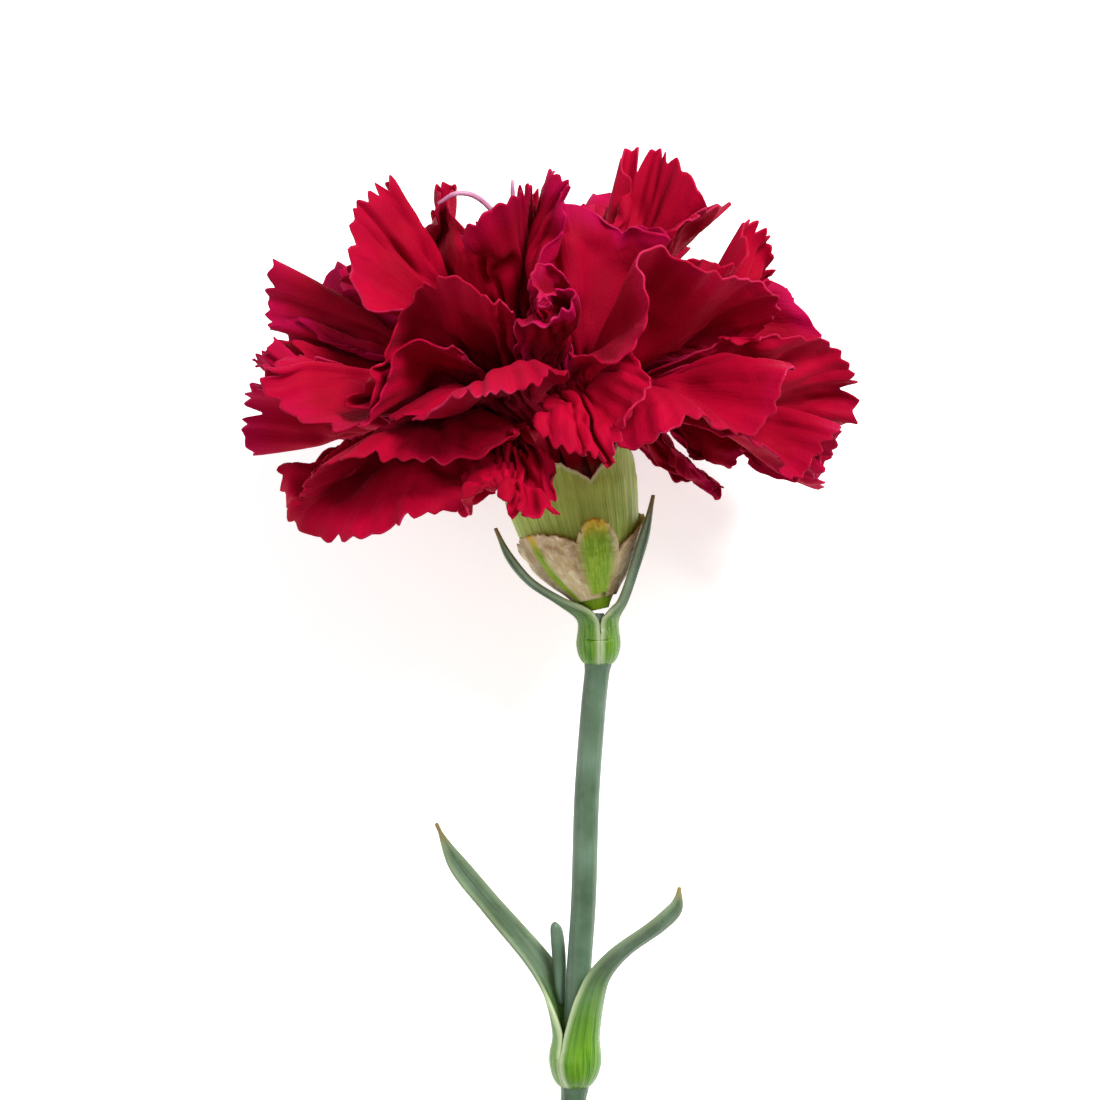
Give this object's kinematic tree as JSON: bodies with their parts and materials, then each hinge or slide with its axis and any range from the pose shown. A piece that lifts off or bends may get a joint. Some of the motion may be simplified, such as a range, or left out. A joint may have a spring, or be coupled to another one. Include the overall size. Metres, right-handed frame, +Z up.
{
  "type": "cut carnation",
  "caption": "Cut carnation lying on its side, with a full double head of frilled crimson petals in a toothed green calyx, on a jointed stem with narrow paired leaves.",
  "frame": {"origin": "middle of the bounding box's footprint, on the surface that the flower lies on", "axes": "+Y along the flower from the cut end of the stem to the head, +Z up from the surface, +X to the right of the side that faces up, looking towards the head"},
  "size_m": [0.0815, 0.1405, 0.0693],
  "materials": {
    "petal": "velvety crimson, darker in the folds, thin paler toothed margin",
    "calyx": "satin yellow-green with fine lengthwise streaks",
    "scale": "dry papery tan, green and yellow at the middle",
    "ovary": "smooth pale green",
    "style": "smooth mauve",
    "stem": "waxy blue-green, yellow-green at the joints",
    "leaf": "waxy grey-green, brownish tips"
  },
  "bodies": {
    "root": {"petal_01": "petal", "petal_02": "petal", "petal_03": "petal", "petal_04": "petal", "petal_05": "petal", "petal_06": "petal", "petal_07": "petal", "petal_08": "petal", "petal_09": "petal", "petal_10": "petal", "petal_11": "petal", "petal_12": "petal", "petal_13": "petal", "petal_14": "petal", "petal_15": "petal", "petal_16": "petal", "petal_17": "petal", "petal_18": "petal", "petal_19": "petal", "petal_20": "petal", "petal_21": "petal", "petal_22": "petal", "petal_23": "petal", "petal_24": "petal", "petal_25": "petal", "petal_26": "petal", "petal_27": "petal", "petal_28": "petal", "petal_29": "petal", "petal_30": "petal", "petal_31": "petal", "petal_32": "petal", "petal_33": "petal", "petal_34": "petal", "petal_35": "petal", "petal_36": "petal", "petal_37": "petal", "petal_38": "petal", "petal_39": "petal", "petal_40": "petal", "petal_41": "petal", "petal_42": "petal", "calyx": "calyx", "scale_inner_left": "scale", "scale_inner_right": "scale", "scale_outer_front": "scale", "scale_outer_back": "scale", "ovary": "ovary", "style_left": "style", "style_right": "style", "stem": "stem", "leaf_upper_left": "leaf", "leaf_upper_right": "leaf", "leaf_lower_left": "leaf", "leaf_lower_right": "leaf", "side_shoot": "leaf"}
  },
  "joints": []
}
